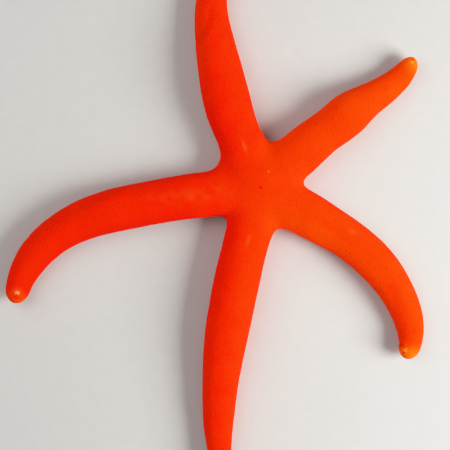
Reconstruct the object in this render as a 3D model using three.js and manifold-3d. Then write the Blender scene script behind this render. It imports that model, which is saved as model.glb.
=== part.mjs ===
// A red sea star at life size, lying on its underside with its five long arms spread.
//
// Millimetres, +Z up, resting on the flats of its underside at z = 0. The body is one
// surface, worked out as cross-sections that open like a fan round the disc and then follow
// each arm to its tip. Thin cuts part it into the disc, four lengths of each arm and the
// plate that ends the arm. The origin is under the middle of the whole animal's outline.

import * as THREE from "three";
import { mergeVertices } from "three/addons/utils/BufferGeometryUtils.js";
import Module from "manifold-3d";

// ---- Driving dimensions ------------------------------------------------------------------

// Every arm leaves the disc with the same width, and runs straight as far as this.
const ROOT_WIDTH = 18;
const ROOT_LENGTH = 23;

// The arms in order round the disc: length from the disc's axis to the tip, then the arm's
// bearing (degrees from +X) and width at even steps from the end of its root to its tip. The
// web is how far the skin fills the notch after the arm, or below zero how deep it runs in.
const ARMS = [
  {
    name: "upper_right",
    length: 81.3,
    bearings: [41.5, 36.8, 38.4, 31, 42.5, 64.7],
    widths: [ROOT_WIDTH, 16.7, 17.1, 12.9, 10.2, 6.8],
    web: 0.04,
  },
  {
    name: "top",
    length: 94.4,
    bearings: [112.5, 104, 101.3, 98.3, 85.8, 84],
    widths: [ROOT_WIDTH, 19, 17.6, 14.7, 11.9, 8.4],
    web: 0.073,
  },
  {
    name: "left",
    length: 117.3,
    bearings: [186.8, 190.3, 194.3, 210, 234.1, 263.7],
    widths: [ROOT_WIDTH, 17.5, 17.3, 15.2, 13, 8.6],
    web: 0,
  },
  {
    name: "bottom",
    length: 114.4,
    bearings: [255.4, 258.2, 260.7, 264.4, 269.4, 280],
    widths: [ROOT_WIDTH, 18.2, 17.4, 14.7, 12, 8.2],
    web: 0.03,
  },
  {
    name: "lower_right",
    length: 97.8,
    bearings: [330.5, 327.2, 314.8, 301.6, 282.5, 245],
    widths: [ROOT_WIDTH, 16.2, 16, 14.1, 11.7, 8],
    web: -0.019,
  },
];

// How softly neighbouring arms run into each other: a lower value fills the notches more.
// A web lies this far out on the line between two arms and fades over this radius.
const ARM_BLEND = 2.1;
const WEB_FROM_AXIS = 18;
const WEB_RADIUS = 4.5;

// The section's height against its width, and the share of it below the widest line.
const HEIGHT_TO_WIDTH = 0.76;
const FLANK_SHARE = 0.42;

// The disc's dome is held down by this share at its middle, over about this radius.
const DISC_FLATTENING = 0.1;
const DISC_FLAT_RADIUS = 12;

// The underside, as shares of the half width: the sole's outer edge and the groove's edge.
const SOLE_EDGE = 0.66;
const GROOVE_EDGE = 0.26;
const GROOVE_DEPTH_TO_HEIGHT = 0.24;
const GROOVE_WALL_POWER = 3;
const MOUTH_EXTRA_DEPTH = 2.2;
const MOUTH_RADIUS = 4;

// The arm's end: its rounding, how far its tip is lifted, and where that lift begins.
const TIP_ROUNDING = 5;
const TIP_LIFT = 2.6;
const TIP_LIFT_START = 0.84;
const TIP_PLATE_LENGTH = 4.5;

// Cuts between the pieces, and the lengths that an arm is cut into beyond the disc.
const CUT = 0.3;
const ARM_LENGTHS = ["base", "inner", "outer", "end"];

// The madreporite, a round sieve plate on the disc between two arms.
const MADREPORITE_RADIUS = 0.95;
const MADREPORITE_THICKNESS = 1.2;
const MADREPORITE_RIM = 0.3;
const MADREPORITE_STANDS_PROUD = 0.3;
const MADREPORITE_FROM_AXIS = 7;
const MADREPORITE_BEARING = 65;

// The skin that closes the mouth, with the mouth's own small hole in it. Its rim is at this
// share of the mouth's depth.
const MEMBRANE_UP = 0.8;
const MEMBRANE_RADIUS = 1.7;
const MEMBRANE_HOLE = 0.4;
const MEMBRANE_THICKNESS = 0.8;
const MEMBRANE_SAG = 0.5;

// How finely the surface is divided. The groove's rows are shares of its half width, and the
// fan's spacing below 1 crowds its sections towards the end of the root.
const DOME_STEPS = 6;
const FLANK_STEPS = 3;
const GROOVE_ROWS = [1, 0.68, 0];
const FAN_STEPS = 7;
const FAN_SPACING = 0.7;
const RINGS_PER_LENGTH = 5;
const TIP_RINGS = 4;
const LINE_STEPS = 400;
const ROUND_SIDES = 20;

// ---- Small helpers -----------------------------------------------------------------------

const degrees = (angle) => (angle * Math.PI) / 180;

function smoothRise(share) {
  const held = Math.min(Math.max(share, 0), 1);
  return held * held * (3 - 2 * held);
}

// A smooth value (a Catmull-Rom curve) through evenly spaced stations, at a share of the way.
function along(stations, share) {
  const last = stations.length - 1;
  const place = Math.min(Math.max(share, 0), 1) * last;
  const index = Math.min(Math.floor(place), last - 1);
  const u = place - index;
  const station = (k) => stations[Math.min(Math.max(k, 0), last)];
  const [a, b, c, d] = [station(index - 1), station(index), station(index + 1), station(index + 2)];
  const squared = 2 * a - 5 * b + 4 * c - d;
  const cubed = 3 * b - a - 3 * c + d;
  return 0.5 * (2 * b + (c - a) * u + squared * u ** 2 + cubed * u ** 3);
}

// ---- The arms' middle lines and sizes ------------------------------------------------------

function shareAlong(arm, s) {
  return (s - ROOT_LENGTH) / (arm.length - ROOT_LENGTH);
}

// The arm's middle line on the ground, found by walking its bearing outwards from the axis.
function walkLine(arm) {
  const step = arm.length / LINE_STEPS;
  const stops = [new THREE.Vector2(0, 0)];
  for (let k = 0; k < LINE_STEPS; k += 1) {
    const bearing = degrees(along(arm.bearings, shareAlong(arm, (k + 0.5) * step)));
    const ahead = new THREE.Vector2(Math.cos(bearing), Math.sin(bearing)).multiplyScalar(step);
    stops.push(stops[k].clone().add(ahead));
  }
  return (s) => {
    const place = Math.min(s / step, LINE_STEPS - 1e-9);
    const index = Math.floor(place);
    return stops[index].clone().lerp(stops[index + 1], place - index);
  };
}

// The half width, the heights above and below the widest line, and that line's own height.
function sectionSizes(arm, s) {
  const width = along(arm.widths, shareAlong(arm, s));
  const height = HEIGHT_TO_WIDTH * width;
  const intoTip = Math.max((s - (arm.length - TIP_ROUNDING)) / TIP_ROUNDING, 0);
  const closing = Math.sqrt(Math.max(1 - intoTip * intoTip, 0));
  const lift = TIP_LIFT * smoothRise((s / arm.length - TIP_LIFT_START) / (1 - TIP_LIFT_START));
  return {
    halfWidth: (width / 2) * closing,
    above: (1 - FLANK_SHARE) * height * closing,
    below: FLANK_SHARE * height * closing,
    middle: lift + FLANK_SHARE * height,
    groove: GROOVE_DEPTH_TO_HEIGHT * height * closing,
  };
}

// How much the crest is held down at a distance from the disc's axis.
function flattening(radius) {
  return 1 - DISC_FLATTENING * Math.exp(-((radius / DISC_FLAT_RADIUS) ** 2));
}

function mouthDepth(s) {
  return MOUTH_EXTRA_DEPTH * Math.exp(-((s / MOUTH_RADIUS) ** 2));
}

// ---- The disc: where five straight roots run into each other ---------------------------------

// Zero on an arm's crest line and one at the outline of the whole body. It is the smooth
// least of the five arms' own values, each the squared distance to the arm's line over
// the squared half width, and the webs between the arms bring it down a little more.
function spread(x, y) {
  let total = 0;
  for (const arm of ARMS) {
    const bearing = degrees(arm.bearings[0]);
    const ahead = x * Math.cos(bearing) + y * Math.sin(bearing);
    const aside = y * Math.cos(bearing) - x * Math.sin(bearing);
    const squared = ahead > 0 ? aside * aside : x * x + y * y;
    total += Math.exp((-ARM_BLEND * squared) / (ROOT_WIDTH / 2) ** 2);
    const between = bearing + arm.halfAngleAfter;
    const webX = x - WEB_FROM_AXIS * Math.cos(between);
    const webY = y - WEB_FROM_AXIS * Math.sin(between);
    total += arm.web * Math.exp(-(webX * webX + webY * webY) / WEB_RADIUS ** 2);
  }
  return -Math.log(total) / ARM_BLEND;
}

// The point on a ray where the spread first reaches a value, by halving the stretch it is in.
function reach(start, direction, value) {
  let near = 0;
  let far = 2 * ROOT_LENGTH;
  while (far - near > 1e-7) {
    const middle = (near + far) / 2;
    const point = start.clone().addScaledVector(direction, middle);
    if (spread(point.x, point.y) < value) {
      near = middle;
    } else {
      far = middle;
    }
  }
  return start.clone().addScaledVector(direction, near);
}

// ---- The cross-section -------------------------------------------------------------------

// One side of the section from the crest to the middle of the groove: the share of the half
// width, and which stretch of the section the row is on with its turn round that stretch.
function halfSectionRows() {
  const rows = [];
  for (let k = 0; k <= DOME_STEPS; k += 1) {
    const turn = (k / DOME_STEPS) * (Math.PI / 2);
    rows.push({ part: "dome", share: Math.sin(turn), turn });
  }
  for (let k = 1; k <= FLANK_STEPS; k += 1) {
    const turn = (k / FLANK_STEPS) * (Math.PI / 2);
    rows.push({ part: "flank", share: SOLE_EDGE + (1 - SOLE_EDGE) * Math.cos(turn), turn });
  }
  for (const share of GROOVE_ROWS) {
    rows.push({ part: "groove", share: share * GROOVE_EDGE, turn: share });
  }
  return rows;
}

const ROWS = halfSectionRows();

// The height of a row's point, from the section's sizes and the dome's height over it.
function rowHeight(row, sizes, domeHeight, extraDepth) {
  if (row.part === "dome") {
    return sizes.middle + domeHeight;
  }
  if (row.part === "flank") {
    return sizes.middle - sizes.below * Math.sin(row.turn);
  }
  const floor = sizes.middle - sizes.below;
  return floor + (sizes.groove + extraDepth) * (1 - row.turn ** GROOVE_WALL_POWER);
}

// A point of a section that is all arm: square across the middle line.
function armPoint(arm, s, row, side) {
  const sizes = sectionSizes(arm, s);
  const bearing = degrees(along(arm.bearings, shareAlong(arm, s))) + (side * Math.PI) / 2;
  const across = new THREE.Vector2(Math.cos(bearing), Math.sin(bearing));
  const place = arm.line(s).addScaledVector(across, row.share * sizes.halfWidth);
  const dome = sizes.above * flattening(s) * Math.cos(row.turn);
  return new THREE.Vector3(place.x, place.y, rowHeight(row, sizes, dome, 0));
}

// A point of a section in the fan, whose two halves swing from the lines between the arms,
// at the disc's axis, to square across the arm at the end of its root. The flank's rows keep
// to the same values of the spread all the way round, so that the sole's edge is smooth.
function fanPoint(arm, opened, row, side) {
  const root = degrees(arm.bearings[0]);
  const half = side > 0 ? arm.halfAngleAfter : arm.halfAngleBefore;
  const swing = root + side * (half + (Math.PI / 2 - half) * opened);
  const s = ROOT_LENGTH * opened ** FAN_SPACING;
  const start = new THREE.Vector2(Math.cos(root), Math.sin(root)).multiplyScalar(s);
  const direction = new THREE.Vector2(Math.cos(swing), Math.sin(swing));
  const lowest = row.part === "flank" ? 0 : spread(start.x, start.y);
  const value = lowest + (1 - lowest) * row.share ** 2;
  const place = row.share > 0 ? reach(start, direction, value) : start;
  const sizes = sectionSizes(arm, ROOT_LENGTH);
  const dome = sizes.above * flattening(place.length()) * Math.sqrt(Math.max(1 - value, 0));
  return new THREE.Vector3(place.x, place.y, rowHeight(row, sizes, dome, mouthDepth(s)));
}

// A whole section: down one side from the crest to the groove, and up the other.
function ring(pointOf) {
  const inner = ROWS.slice(1, -1);
  return [
    pointOf(ROWS[0], 1),
    ...inner.map((row) => pointOf(row, 1)),
    pointOf(ROWS[ROWS.length - 1], 1),
    ...inner.reverse().map((row) => pointOf(row, -1)),
  ];
}

const armRing = (arm, s) => ring((row, side) => armPoint(arm, s, row, side));
const fanRing = (arm, opened) => ring((row, side) => fanPoint(arm, opened, row, side));

// ---- Solids from rings -------------------------------------------------------------------

// Two triangles between each pair of neighbouring points of two rings.
function skinBetween(triangles, first, second) {
  for (let k = 0; k < first.length; k += 1) {
    const next = (k + 1) % first.length;
    triangles.push([first[next], first[k], second[k]], [second[next], first[next], second[k]]);
  }
}

// A flat end over a ring, as a fan of triangles from a point inside it.
function closeEnd(triangles, end, outwards) {
  const crest = end[0];
  const groove = end[ROWS.length - 1];
  const middle = crest.clone().lerp(groove, 0.5);
  for (let k = 0; k < end.length; k += 1) {
    const next = end[(k + 1) % end.length];
    triangles.push(outwards ? [next, end[k], middle] : [end[k], next, middle]);
  }
}

// Triangles that have shrunk to a line are dropped, and the rest share their corners.
function solid(triangles) {
  const corners = [];
  for (const [a, b, c] of triangles) {
    const area = b.clone().sub(a).cross(c.clone().sub(a)).length();
    if (area > 1e-9) {
      corners.push(...a.toArray(), ...b.toArray(), ...c.toArray());
    }
  }
  const geometry = new THREE.BufferGeometry();
  geometry.setAttribute("position", new THREE.Float32BufferAttribute(corners, 3));
  return mergeVertices(geometry, 1e-4);
}

// One length of an arm between two distances along it, closed at both ends.
function armLength(arm, from, to) {
  const triangles = [];
  const rings = [];
  for (let k = 0; k <= RINGS_PER_LENGTH; k += 1) {
    rings.push(armRing(arm, from + ((to - from) * k) / RINGS_PER_LENGTH));
  }
  closeEnd(triangles, rings[0], false);
  for (let k = 0; k < RINGS_PER_LENGTH; k += 1) {
    skinBetween(triangles, rings[k], rings[k + 1]);
  }
  closeEnd(triangles, rings[RINGS_PER_LENGTH], true);
  return solid(triangles);
}

// The arm's round end, whose rings draw together at the tip.
function armTip(arm, from) {
  const triangles = [];
  const rings = [];
  for (let k = 0; k <= TIP_RINGS; k += 1) {
    const turn = (k / TIP_RINGS) * (Math.PI / 2);
    rings.push(armRing(arm, from + (arm.length - from) * Math.sin(turn)));
  }
  closeEnd(triangles, rings[0], false);
  for (let k = 0; k < TIP_RINGS; k += 1) {
    skinBetween(triangles, rings[k], rings[k + 1]);
  }
  return solid(triangles);
}

// The disc, with the stub of each arm out to the first cut.
function disc() {
  const triangles = [];
  for (const arm of ARMS) {
    const rings = [];
    for (let k = 0; k < FAN_STEPS; k += 1) {
      rings.push(fanRing(arm, k / FAN_STEPS));
    }
    rings.push(armRing(arm, ROOT_LENGTH));
    for (let k = 0; k < FAN_STEPS; k += 1) {
      skinBetween(triangles, rings[k], rings[k + 1]);
    }
    closeEnd(triangles, rings[FAN_STEPS], true);
  }
  return solid(triangles);
}

// ---- Small parts of the disc ----------------------------------------------------------------

// A low button with a rounded rim, standing along +Z on its own base.
function buttonProfile(radius, thickness, rim) {
  const bend = [0, 30, 60, 90].map((angle) => {
    const turn = degrees(angle);
    return new THREE.Vector2(radius - rim + rim * Math.cos(turn), thickness - rim + rim * Math.sin(turn));
  });
  return [new THREE.Vector2(0, 0), new THREE.Vector2(radius, 0), ...bend, new THREE.Vector2(0, thickness)];
}

function turned(profile) {
  const geometry = new THREE.LatheGeometry(profile, ROUND_SIDES);
  geometry.rotateX(Math.PI / 2);
  geometry.deleteAttribute("normal");
  geometry.deleteAttribute("uv");
  return mergeVertices(geometry, 1e-4);
}

// The disc's height over a point of the ground within its own outline.
function discHeight(x, y) {
  const sizes = sectionSizes(ARMS[0], ROOT_LENGTH);
  return sizes.middle + sizes.above * flattening(Math.hypot(x, y)) * Math.sqrt(1 - spread(x, y));
}

// Turns and moves a button so that it stands on the disc, square to the skin there, and
// its top is the given distance above the skin.
function seatOnDisc(geometry, thickness, proud) {
  const x = MADREPORITE_FROM_AXIS * Math.cos(degrees(MADREPORITE_BEARING));
  const y = MADREPORITE_FROM_AXIS * Math.sin(degrees(MADREPORITE_BEARING));
  const step = 0.1;
  const slopeX = (discHeight(x + step, y) - discHeight(x - step, y)) / (2 * step);
  const slopeY = (discHeight(x, y + step) - discHeight(x, y - step)) / (2 * step);
  const outwards = new THREE.Vector3(-slopeX, -slopeY, 1).normalize();
  const base = new THREE.Vector3(x, y, discHeight(x, y)).addScaledVector(outwards, proud - thickness);
  geometry.applyQuaternion(new THREE.Quaternion().setFromUnitVectors(new THREE.Vector3(0, 0, 1), outwards));
  geometry.translate(...base.toArray());
  return geometry;
}

// ---- Joining and cutting -----------------------------------------------------------------

const wasm = await Module();
wasm.setup();

function toSolid(geometry) {
  return new wasm.Manifold(
    new wasm.Mesh({
      numProp: 3,
      vertProperties: new Float32Array(geometry.attributes.position.array),
      triVerts: new Uint32Array(geometry.index.array),
    }),
  );
}

function cutAway(geometry, tool) {
  const mesh = toSolid(geometry).subtract(toSolid(tool)).getMesh();
  const result = new THREE.BufferGeometry();
  result.setAttribute("position", new THREE.Float32BufferAttribute(mesh.vertProperties, 3));
  result.setIndex([...mesh.triVerts]);
  return result;
}

// ---- The animal ----------------------------------------------------------------------------

const SKIN = { color: 0xf33a08, roughness: 0.55, metalness: 0 };
const TIP_SKIN = { color: 0xff8a2c, roughness: 0.5, metalness: 0 };
const SIEVE = { color: 0xf4703a, roughness: 0.7, metalness: 0 };
const MEMBRANE = { color: 0xf2a070, roughness: 0.5, metalness: 0 };

const group = new THREE.Group();

function add(name, geometry, finish) {
  geometry.computeVertexNormals();
  const mesh = new THREE.Mesh(geometry, new THREE.MeshStandardMaterial(finish));
  mesh.name = name;
  group.add(mesh);
}

ARMS.forEach((arm, index) => {
  const turn = (from, to) => (degrees(to.bearings[0] - from.bearings[0] + 360) % (2 * Math.PI)) / 2;
  arm.line = walkLine(arm);
  arm.halfAngleAfter = turn(arm, ARMS[(index + 1) % ARMS.length]);
  arm.halfAngleBefore = turn(ARMS[(index + ARMS.length - 1) % ARMS.length], arm);
});

const socketDepth = MADREPORITE_THICKNESS + CUT;
const socket = turned(buttonProfile(MADREPORITE_RADIUS + CUT, socketDepth, MADREPORITE_RIM));
const button = turned(buttonProfile(MADREPORITE_RADIUS, MADREPORITE_THICKNESS, MADREPORITE_RIM));
seatOnDisc(socket, socketDepth, MADREPORITE_STANDS_PROUD);
seatOnDisc(button, MADREPORITE_THICKNESS, MADREPORITE_STANDS_PROUD);
add("disc", cutAway(disc(), socket), SKIN);
add("madreporite", button, SIEVE);

for (const arm of ARMS) {
  const start = ROOT_LENGTH + CUT;
  const end = arm.length - TIP_PLATE_LENGTH;
  const step = (end + CUT - start) / ARM_LENGTHS.length;
  ARM_LENGTHS.forEach((length, index) => {
    const from = start + index * step;
    add(`arm_${arm.name}_${length}`, armLength(arm, from, from + step - CUT), SKIN);
  });
  add(`arm_${arm.name}_tip`, armTip(arm, end + CUT), TIP_SKIN);
}

// The membrane sags a little below its rim, and hangs under the roof of the mouth.
const grooveTop = sectionSizes(ARMS[0], ROOT_LENGTH).groove + MOUTH_EXTRA_DEPTH;
const membraneTop = grooveTop * MEMBRANE_UP;
const membraneProfile = [
  new THREE.Vector2(MEMBRANE_HOLE, membraneTop - MEMBRANE_THICKNESS - MEMBRANE_SAG),
  new THREE.Vector2(MEMBRANE_RADIUS, membraneTop - MEMBRANE_THICKNESS),
  new THREE.Vector2(MEMBRANE_RADIUS, membraneTop),
  new THREE.Vector2(MEMBRANE_HOLE, membraneTop - MEMBRANE_SAG),
  new THREE.Vector2(MEMBRANE_HOLE, membraneTop - MEMBRANE_THICKNESS - MEMBRANE_SAG),
];
add("mouth_membrane", turned(membraneProfile), MEMBRANE);

const outline = new THREE.Box3().setFromObject(group);
const middle = outline.getCenter(new THREE.Vector3());
group.position.set(-middle.x, -middle.y, 0);
group.updateMatrixWorld(true);

export default group;
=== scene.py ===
"""A red sea star at life size, lying flat with its five long arms spread, on a pale floor.

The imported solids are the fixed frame. The sizes of the arms are repeated from their source
in millimetres, and each new piece is worked out on them and turned to metres at the end.
"""

import math

import bpy
import numpy as np
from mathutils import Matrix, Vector


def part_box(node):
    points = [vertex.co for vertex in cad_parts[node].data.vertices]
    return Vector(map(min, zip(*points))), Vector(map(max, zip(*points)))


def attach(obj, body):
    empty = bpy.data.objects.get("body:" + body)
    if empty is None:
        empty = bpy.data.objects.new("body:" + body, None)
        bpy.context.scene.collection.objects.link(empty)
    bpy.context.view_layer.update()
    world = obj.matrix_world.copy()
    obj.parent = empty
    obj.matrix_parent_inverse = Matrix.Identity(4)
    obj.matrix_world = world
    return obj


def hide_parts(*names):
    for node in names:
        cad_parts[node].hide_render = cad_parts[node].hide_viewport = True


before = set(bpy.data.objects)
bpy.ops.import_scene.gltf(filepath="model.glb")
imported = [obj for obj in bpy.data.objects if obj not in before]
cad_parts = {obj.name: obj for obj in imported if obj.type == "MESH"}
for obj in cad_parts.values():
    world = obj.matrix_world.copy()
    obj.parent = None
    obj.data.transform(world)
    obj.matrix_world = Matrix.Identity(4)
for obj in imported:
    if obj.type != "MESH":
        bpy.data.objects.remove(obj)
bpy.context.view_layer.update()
scene = bpy.context.scene

# ---- The view, the light and the floor ------------------------------------------------------
# The camera looks straight down on the animal, as one looks at it on a shallow sea bed. One
# soft light stands low on the right, near enough to fade towards the left arm, and a broad
# one fills in from the other side.

MM = 0.001
mouth_low, mouth_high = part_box("mouth_membrane")
DISC = np.array([(mouth_low.x + mouth_high.x) / 2, (mouth_low.y + mouth_high.y) / 2, 0.0])
# The width of the view is held at the height where the arms are widest.
VIEW_WIDTH = 180.0 * MM
VIEW_CENTRE = DISC + np.array([-14.1, -14.8, 0.0]) * MM
WIDEST_HEIGHT = 5.7 * MM
CAMERA_HEIGHT = 0.72
SENSOR = 36.0

camera_data = bpy.data.cameras.new("view_from_above")
camera_data.sensor_width = SENSOR
camera_data.lens = SENSOR * (CAMERA_HEIGHT - WIDEST_HEIGHT) / VIEW_WIDTH
camera_data.clip_start = 0.01
camera = bpy.data.objects.new("view_from_above", camera_data)
camera.location = (VIEW_CENTRE[0], VIEW_CENTRE[1], CAMERA_HEIGHT)
scene.collection.objects.link(camera)
scene.camera = camera

# The picture keeps its dark tones and rolls its bright ones off softly, as film does, so that
# the strong red keeps its shading. Each pair is a brightness before and after.
TONES = [(0.02, 0.02), (0.05, 0.05), (0.72, 0.68), (1.0, 0.84), (1.5, 0.925), (2.1, 0.965)]
BRIGHTEST = 2.5
scene.view_settings.view_transform = "Standard"
scene.view_settings.use_curve_mapping = True
tone = scene.view_settings.curve_mapping
tone.initialize()
tone.white_level = (BRIGHTEST, BRIGHTEST, BRIGHTEST)
for before, after in TONES:
    tone.curves[3].points.new(before / BRIGHTEST, after)
tone.update()


def soft_light(name, place, size, power, colour):
    """A square area light at a place in metres from the disc's middle, turned towards it."""
    data = bpy.data.lights.new(name, "AREA")
    data.size = size
    data.energy = power
    data.color = colour
    light = bpy.data.objects.new(name, data)
    light.location = Vector(DISC) + Vector(place)
    light.rotation_euler = (-Vector(place)).to_track_quat("-Z", "Y").to_euler()
    scene.collection.objects.link(light)


soft_light("key", (0.44, -0.12, 0.27), 0.28, 6.6, (1.0, 0.97, 0.92))
soft_light("fill", (-0.36, 0.16, 0.46), 0.5, 2.2, (1.0, 0.95, 0.92))

world = bpy.data.worlds.new("studio")
world.use_nodes = True
world.node_tree.nodes["Background"].inputs["Color"].default_value = (0.95, 0.95, 1.0, 1.0)
world.node_tree.nodes["Background"].inputs["Strength"].default_value = 0.3
scene.world = world


class Value:
    """A socket in a finish. Sums on values add the Math nodes that work them out."""

    def __init__(self, finish, socket):
        self.finish = finish
        self.socket = socket

    def _math(self, operation, first, second):
        return self.finish.node("ShaderNodeMath", {"operation": operation}, {0: first, 1: second})

    def __add__(self, other):
        return self._math("ADD", self, other)

    def __radd__(self, other):
        return self._math("ADD", other, self)

    def __sub__(self, other):
        return self._math("SUBTRACT", self, other)

    def __rsub__(self, other):
        return self._math("SUBTRACT", other, self)

    def __mul__(self, other):
        return self._math("MULTIPLY", self, other)

    def __rmul__(self, other):
        return self._math("MULTIPLY", other, self)


class Finish:
    """A material and the nodes that make it up."""

    def __init__(self, name):
        self.material = bpy.data.materials.new(name)
        self.material.use_nodes = True
        self.tree = self.material.node_tree
        self.tree.nodes.clear()

    def node(self, kind, settings=None, inputs=None, output=0):
        """Adds a node, gives it its settings, then sets or links its sockets."""
        node = self.tree.nodes.new(kind)
        for key, value in (settings or {}).items():
            setattr(node, key, value)
        for key, value in (inputs or {}).items():
            socket = node.inputs[key]
            if isinstance(value, Value):
                self.tree.links.new(value.socket, socket)
            else:
                socket.default_value = value
        return Value(self, node.outputs[output]) if len(node.outputs) else None

    def place(self):
        """Where a point is on the object, in metres."""
        return self.node("ShaderNodeTexCoord", output="Object")

    def mark(self, name):
        """A number that the mesh carries at each of its points."""
        return self.node("ShaderNodeAttribute", {"attribute_name": name}, output="Fac")

    def noise(self, vector, size, detail=2.0):
        """Cloudy values around 0.5 whose lumps are about a size in metres."""
        sockets = {"Vector": vector, "Scale": 1.0 / size, "Detail": detail}
        return self.node("ShaderNodeTexNoise", inputs=sockets, output="Fac")

    def cells(self, vector, size, output="Distance"):
        """Scattered points a size apart: how far the nearest is, in sizes, or its own chance."""
        sockets = {"Vector": vector, "Scale": 1.0 / size, "Randomness": 0.9}
        return self.node("ShaderNodeTexVoronoi", inputs=sockets, output=output)

    def rise(self, value, low, high):
        """A value brought from between low and high to between 0 and 1, with soft ends."""
        sockets = {"Value": value, "From Min": low, "From Max": high}
        return self.node("ShaderNodeMapRange", {"interpolation_type": "SMOOTHSTEP"}, sockets)

    def blend(self, share, first, second):
        """A colour between two, by a share."""
        settings = {"data_type": "RGBA"}
        return self.node("ShaderNodeMix", settings, {0: share, 6: first, 7: second}, output=2)

    def bump(self, height, distance, normal=None):
        """The shading of a relief, whose height of 1 is a distance in metres."""
        sockets = {"Height": height, "Distance": distance}
        if normal is not None:
            sockets["Normal"] = normal
        return self.node("ShaderNodeBump", inputs=sockets)

    def surface(self, **sockets):
        """Ends the finish in a Principled surface, with its sockets by name, _ for a space."""
        named = {key.replace("_", " "): value for key, value in sockets.items()}
        shader = self.node("ShaderNodeBsdfPrincipled", inputs=named)
        self.node("ShaderNodeOutputMaterial", inputs={"Surface": shader})
        return self.material


def mesh_piece(name, points, faces, material, marks=None):
    """A smooth mesh of points in millimetres from the disc's middle, put in metres. A face is
    four point numbers, the last doubled on a triangle. Marks are numbers at its points."""
    corners = [face[:3] if face[2] == face[3] else face for face in np.asarray(faces).tolist()]
    mesh = bpy.data.meshes.new(name)
    mesh.from_pydata((np.asarray(points) * MM + DISC).tolist(), [], corners)
    mesh.polygons.foreach_set("use_smooth", np.ones(len(mesh.polygons), dtype=bool))
    mesh.materials.append(material)
    for mark, values in (marks or {}).items():
        mesh.attributes.new(mark, "FLOAT", "POINT").data.foreach_set("value", values)
    mesh.update()
    piece = bpy.data.objects.new(name, mesh)
    scene.collection.objects.link(piece)
    return piece


FLOOR_HALF = 1600.0
floor_finish = Finish("floor_paper")
floor_grain = floor_finish.noise(floor_finish.place(), 0.004, detail=4.0)
floor_colour = floor_finish.blend(floor_grain, (0.42, 0.42, 0.41, 1.0), (0.46, 0.46, 0.45, 1.0))
floor_material = floor_finish.surface(Base_Color=floor_colour, Roughness=0.9)
floor_corners = FLOOR_HALF * np.array([[-1, -1, 0], [1, -1, 0], [1, 1, 0], [-1, 1, 0]])
floor = mesh_piece("floor", floor_corners, [[0, 1, 2, 3]], floor_material)

# ---- The lines and sizes of the arms -----------------------------------------------------------
# Five straight roots leave the disc and run into each other. Beyond the root each arm follows
# its own bearing and tapers to a round, slightly lifted tip.

ROOT_WIDTH = 18.0
ROOT_LENGTH = 23.0
# Each arm: its length from the disc's axis, its bearings from the root's to the tip's at even
# stations, and its widths at the same stations after the root's.
ARMS = {
    "upper_right": (81.3, (41.5, 36.8, 38.4, 31.0, 42.5, 64.7), (16.7, 17.1, 12.9, 10.2, 6.8)),
    "top": (94.4, (112.5, 104.0, 101.3, 98.3, 85.8, 84.0), (19.0, 17.6, 14.7, 11.9, 8.4)),
    "left": (117.3, (186.8, 190.3, 194.3, 210.0, 234.1, 263.7), (17.5, 17.3, 15.2, 13.0, 8.6)),
    "bottom": (114.4, (255.4, 258.2, 260.7, 264.4, 269.4, 280.0), (18.2, 17.4, 14.7, 12.0, 8.2)),
    "lower_right": (97.8, (330.5, 327.2, 314.8, 301.6, 282.5, 245.0), (16.2, 16.0, 14.1, 11.7, 8.0)),
}
NAMES = list(ARMS)
ARM_BLEND = 2.1
# How far the skin fills the notch after each arm, or below zero how deep the notch runs in.
WEBS = {"upper_right": 0.04, "top": 0.073, "left": 0.0, "bottom": 0.03, "lower_right": -0.019}
WEB_FROM_AXIS = 18.0
WEB_RADIUS = 4.5
HEIGHT_TO_WIDTH = 0.76
FLANK_SHARE = 0.42
DISC_FLATTENING = 0.1
DISC_FLAT_RADIUS = 12.0
SOLE_EDGE = 0.66
GROOVE_EDGE = 0.26
GROOVE_DEPTH_TO_HEIGHT = 0.24
GROOVE_WALL_POWER = 3
MOUTH_EXTRA_DEPTH = 2.2
MOUTH_RADIUS = 4.0
TIP_ROUNDING = 5.0
TIP_LIFT = 2.6
TIP_LIFT_START = 0.84
LINE_STEPS = 400
HALVINGS = 36
ROOT_BEARINGS = np.radians([ARMS[name][1][0] for name in NAMES])
HALF_ANGLES_AFTER = (np.roll(ROOT_BEARINGS, -1) - ROOT_BEARINGS) % (2 * math.pi) / 2


def smooth_rise(share):
    """0 up to a share of 0, 1 from a share of 1, and 3 s^2 - 2 s^3 between."""
    held = np.clip(share, 0.0, 1.0)
    return held * held * (3.0 - 2.0 * held)


def along(stations, share):
    """A Catmull-Rom curve through evenly spaced stations, at shares of the way."""
    stations = np.asarray(stations, dtype=float)
    last = len(stations) - 1
    place = np.clip(share, 0.0, 1.0) * last
    index = np.minimum(place.astype(int), last - 1)
    u = place - index
    a, b, c, d = (stations[np.clip(index + k, 0, last)] for k in (-1, 0, 1, 2))
    squared, cubed = 2 * a - 5 * b + 4 * c - d, 3 * b - a - 3 * c + d
    return 0.5 * (2 * b + (c - a) * u + squared * u**2 + cubed * u**3)


def share_along(name, s):
    """The share of the arm beyond its root that lies within a distance from the axis."""
    return (s - ROOT_LENGTH) / (ARMS[name][0] - ROOT_LENGTH)


def middle_line(name, s):
    """The arm's middle line, its bearing walked outwards in even steps, and that bearing."""
    length, bearings = ARMS[name][:2]
    step = length / LINE_STEPS
    turns = np.radians(along(bearings, share_along(name, (np.arange(LINE_STEPS) + 0.5) * step)))
    walked = np.cumsum(np.stack([np.cos(turns), np.sin(turns)], 1), 0) * step
    stops = np.concatenate([[[0.0, 0.0]], walked])
    marks = np.arange(LINE_STEPS + 1) * step
    line = np.stack([np.interp(s, marks, stops[:, 0]), np.interp(s, marks, stops[:, 1])], -1)
    return line, np.radians(along(bearings, share_along(name, s)))


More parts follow.
